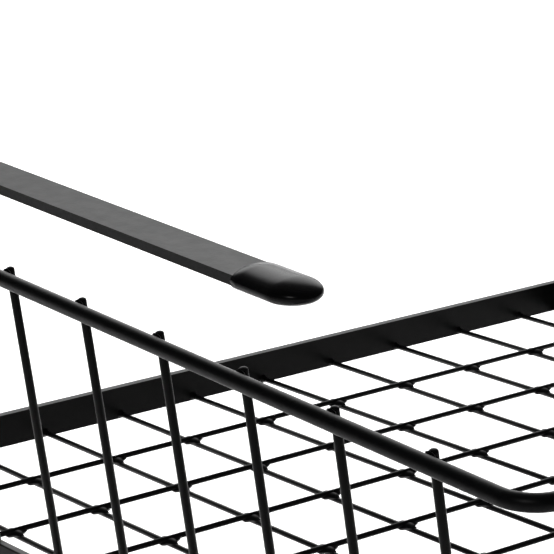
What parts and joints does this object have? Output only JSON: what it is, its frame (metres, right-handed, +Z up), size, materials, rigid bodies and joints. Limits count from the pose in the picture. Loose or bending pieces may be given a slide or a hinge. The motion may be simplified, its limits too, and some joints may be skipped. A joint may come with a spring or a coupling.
{
  "type": "rolling pantry cart",
  "caption": "Rolling wire pantry cart with open tiers, push handle, swing-out side arms and swivel casters with brakes.",
  "frame": {"origin": "on the floor under the middle of the cart at rest", "axes": "+X to the front, +Y to the left, +Z up"},
  "size_m": [0.456, 0.4516, 0.9085],
  "materials": {
    "powder_coat": "satin black powder coat on steel",
    "vinyl_cap": "glossy black vinyl",
    "foam_grip": "matt black grip sleeve",
    "plug": "black moulded plastic",
    "pedal": "black moulded plastic",
    "fork": "black painted pressed steel",
    "wheel": "dark grey moulded nylon",
    "tyre": "dark grey rubber tread",
    "zinc": "bright zinc plate",
    "fasteners": "black oxide steel"
  },
  "bodies": {
    "cart_frame": {"bottom_rear_rail": "powder_coat", "bottom_front_rail": "powder_coat", "bottom_floor_frame": "powder_coat", "bottom_floor_long_wires": "powder_coat", "bottom_floor_cross_wires": "powder_coat", "bottom_gallery_rim": "powder_coat", "bottom_left_wires": "powder_coat", "bottom_right_wires": "powder_coat", "bottom_front_wires": "powder_coat", "middle_rear_rail": "powder_coat", "middle_front_rail": "powder_coat", "middle_floor_frame": "powder_coat", "middle_floor_long_wires": "powder_coat", "middle_floor_cross_wires": "powder_coat", "middle_gallery_rim": "powder_coat", "middle_left_wires": "powder_coat", "middle_right_wires": "powder_coat", "middle_front_wires": "powder_coat", "top_rear_rail": "powder_coat", "top_front_rail": "powder_coat", "top_floor_frame": "powder_coat", "top_floor_long_wires": "powder_coat", "top_floor_cross_wires": "powder_coat", "top_gallery_rim": "powder_coat", "top_left_wires": "powder_coat", "top_right_wires": "powder_coat", "top_front_wires": "powder_coat", "handle_frame": "powder_coat", "push_grip": "foam_grip", "left_front_post": "powder_coat", "right_front_post": "powder_coat", "front_post_plugs": "plug", "rail_bolts": "fasteners", "rail_nuts": "fasteners", "left_arm_bracket": "powder_coat", "right_arm_bracket": "powder_coat", "arm_pivot_rivets": "fasteners", "caster_stems": "zinc"},
    "front_left_swivel": {"front_left_fork": "fork", "front_left_axle": "zinc"},
    "front_left_roller": {"front_left_wheel": "wheel", "front_left_tyre": "tyre"},
    "front_left_brake": {"front_left_brake_pedal": "pedal"},
    "front_right_swivel": {"front_right_fork": "fork", "front_right_axle": "zinc"},
    "front_right_roller": {"front_right_wheel": "wheel", "front_right_tyre": "tyre"},
    "front_right_brake": {"front_right_brake_pedal": "pedal"},
    "rear_left_swivel": {"rear_left_fork": "fork", "rear_left_axle": "zinc"},
    "rear_left_roller": {"rear_left_wheel": "wheel", "rear_left_tyre": "tyre"},
    "rear_right_swivel": {"rear_right_fork": "fork", "rear_right_axle": "zinc"},
    "rear_right_roller": {"rear_right_wheel": "wheel", "rear_right_tyre": "tyre"},
    "left_swing_arm": {"left_arm": "powder_coat", "left_arm_cap": "vinyl_cap"},
    "right_swing_arm": {"right_arm": "powder_coat", "right_arm_cap": "vinyl_cap"}
  },
  "joints": [
    {"name": "front_left_caster_swivel", "type": "hinge", "parent": "cart_frame", "child": "front_left_swivel", "pos_m": [0.178, 0.2113, 0.0736], "axis": [0, 0, 1], "continuous": true},
    {"name": "front_left_wheel_roll", "type": "hinge", "parent": "front_left_swivel", "child": "front_left_roller", "pos_m": [0.156, 0.2113, 0.025], "axis": [0, 1, 0], "continuous": true},
    {"name": "front_left_brake_press", "type": "hinge", "parent": "front_left_swivel", "child": "front_left_brake", "pos_m": [0.148, 0.2113, 0.056], "axis": [0, -1, 0], "range_deg": [0, 25]},
    {"name": "front_right_caster_swivel", "type": "hinge", "parent": "cart_frame", "child": "front_right_swivel", "pos_m": [0.178, -0.2113, 0.0736], "axis": [0, 0, 1], "continuous": true},
    {"name": "front_right_wheel_roll", "type": "hinge", "parent": "front_right_swivel", "child": "front_right_roller", "pos_m": [0.156, -0.2113, 0.025], "axis": [0, 1, 0], "continuous": true},
    {"name": "front_right_brake_press", "type": "hinge", "parent": "front_right_swivel", "child": "front_right_brake", "pos_m": [0.148, -0.2113, 0.056], "axis": [0, -1, 0], "range_deg": [0, 25]},
    {"name": "rear_left_caster_swivel", "type": "hinge", "parent": "cart_frame", "child": "rear_left_swivel", "pos_m": [-0.181, 0.2113, 0.0736], "axis": [0, 0, 1], "continuous": true},
    {"name": "rear_left_wheel_roll", "type": "hinge", "parent": "rear_left_swivel", "child": "rear_left_roller", "pos_m": [-0.203, 0.2113, 0.025], "axis": [0, 1, 0], "continuous": true},
    {"name": "rear_right_caster_swivel", "type": "hinge", "parent": "cart_frame", "child": "rear_right_swivel", "pos_m": [-0.181, -0.2113, 0.0736], "axis": [0, 0, 1], "continuous": true},
    {"name": "rear_right_wheel_roll", "type": "hinge", "parent": "rear_right_swivel", "child": "rear_right_roller", "pos_m": [-0.203, -0.2113, 0.025], "axis": [0, 1, 0], "continuous": true},
    {"name": "left_arm_swing", "type": "hinge", "parent": "cart_frame", "child": "left_swing_arm", "pos_m": [-0.157, 0.2023, 0.835], "axis": [0, 0, 1], "range_deg": [0, 90]},
    {"name": "right_arm_swing", "type": "hinge", "parent": "cart_frame", "child": "right_swing_arm", "pos_m": [-0.157, -0.2023, 0.835], "axis": [0, 0, -1], "range_deg": [0, 90]}
  ]
}
